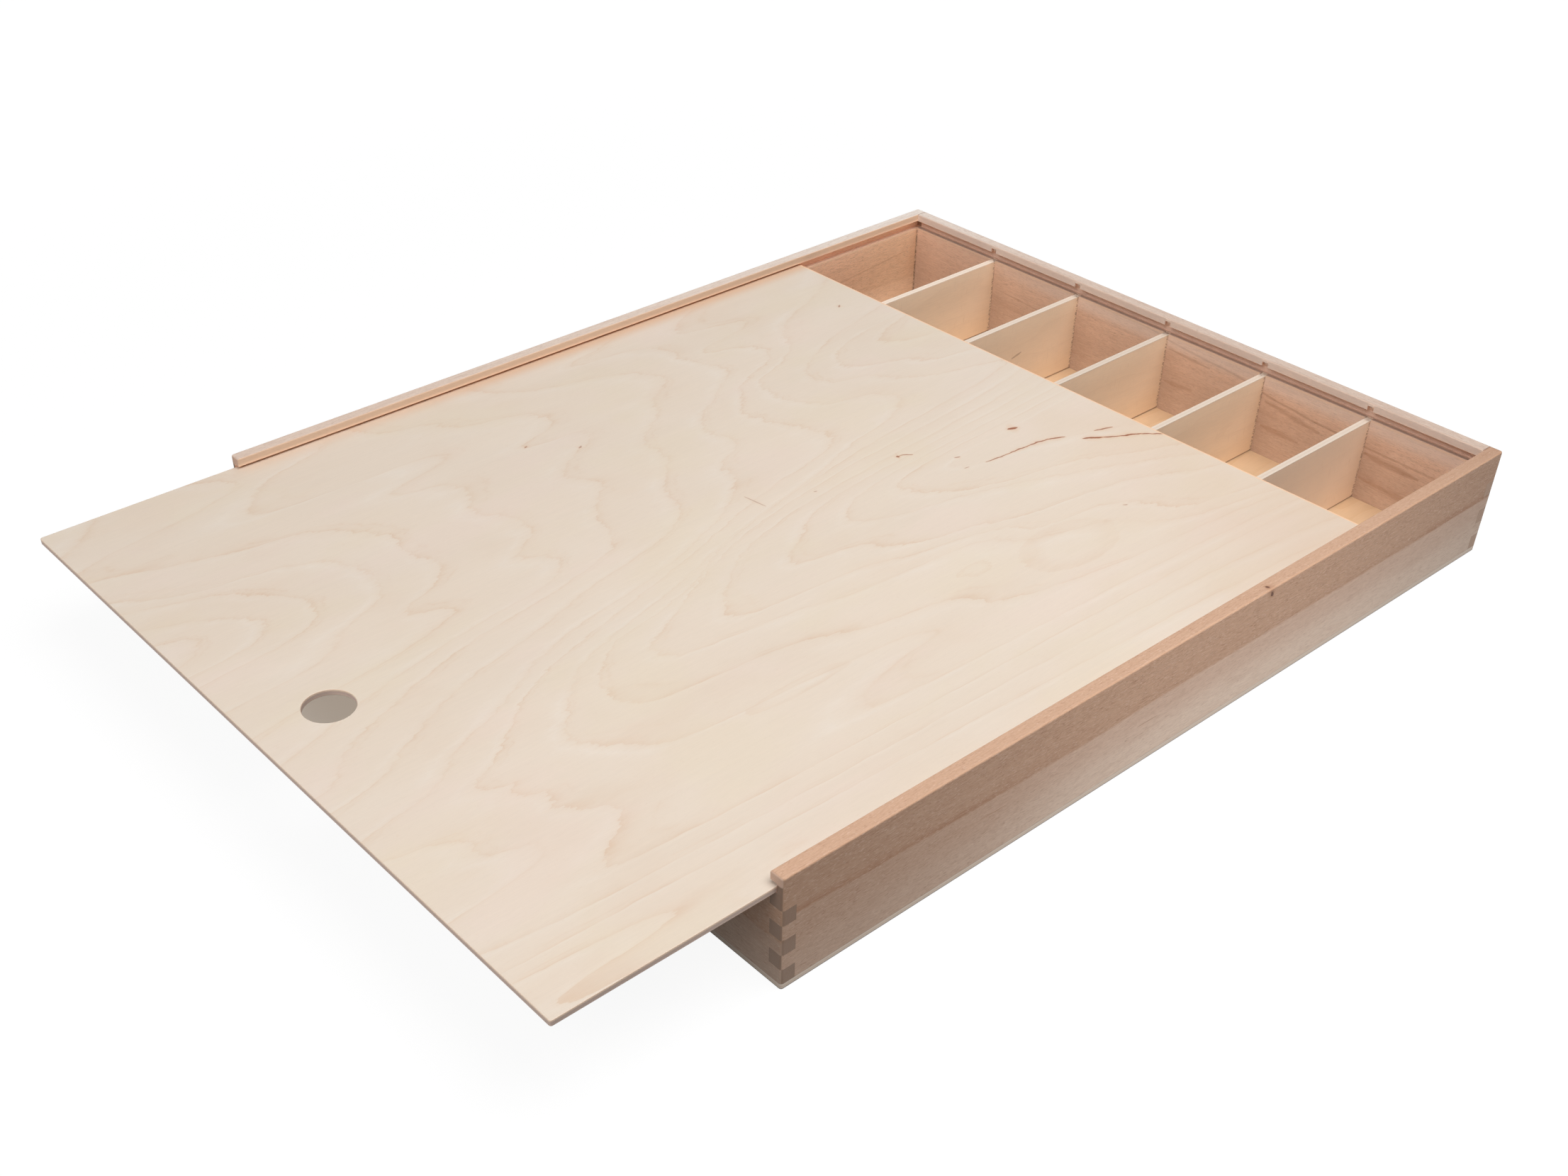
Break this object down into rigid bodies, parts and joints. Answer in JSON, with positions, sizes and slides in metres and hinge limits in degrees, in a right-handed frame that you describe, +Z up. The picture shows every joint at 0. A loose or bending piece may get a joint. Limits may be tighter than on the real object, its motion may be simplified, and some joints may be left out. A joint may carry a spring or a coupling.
{
  "type": "wooden pencil box",
  "caption": "Flat rectangular wooden box with parallel long compartments, finger-jointed corners and a thin plywood lid that slides in grooves and has a round finger hole.",
  "frame": {"origin": "centre of the box's underside, on the surface it stands on", "axes": "+Z up, +X to the right across the compartments, +Y along the compartments to the closed back; the lid slides out towards -Y"},
  "size_m": [0.428, 0.6105, 0.06],
  "materials": {
    "beech": "sanded, unfinished beech",
    "lid_ply": "sanded, unfinished birch plywood",
    "divider_ply": "unfinished birch plywood",
    "floor_ply": "unfinished plywood"
  },
  "bodies": {
    "box": {"bottom_panel": "floor_ply", "left_wall": "beech", "right_wall": "beech", "back_wall": "beech", "front_wall": "beech", "divider_1": "divider_ply", "divider_2": "divider_ply", "divider_3": "divider_ply", "divider_4": "divider_ply", "divider_5": "divider_ply"},
    "lid": {"lid": "lid_ply"}
  },
  "joints": [
    {"name": "lid_slide", "type": "slide", "parent": "box", "child": "lid", "axis": [0, -1, 0], "range_m": [-0.1065, 0.3937]}
  ]
}
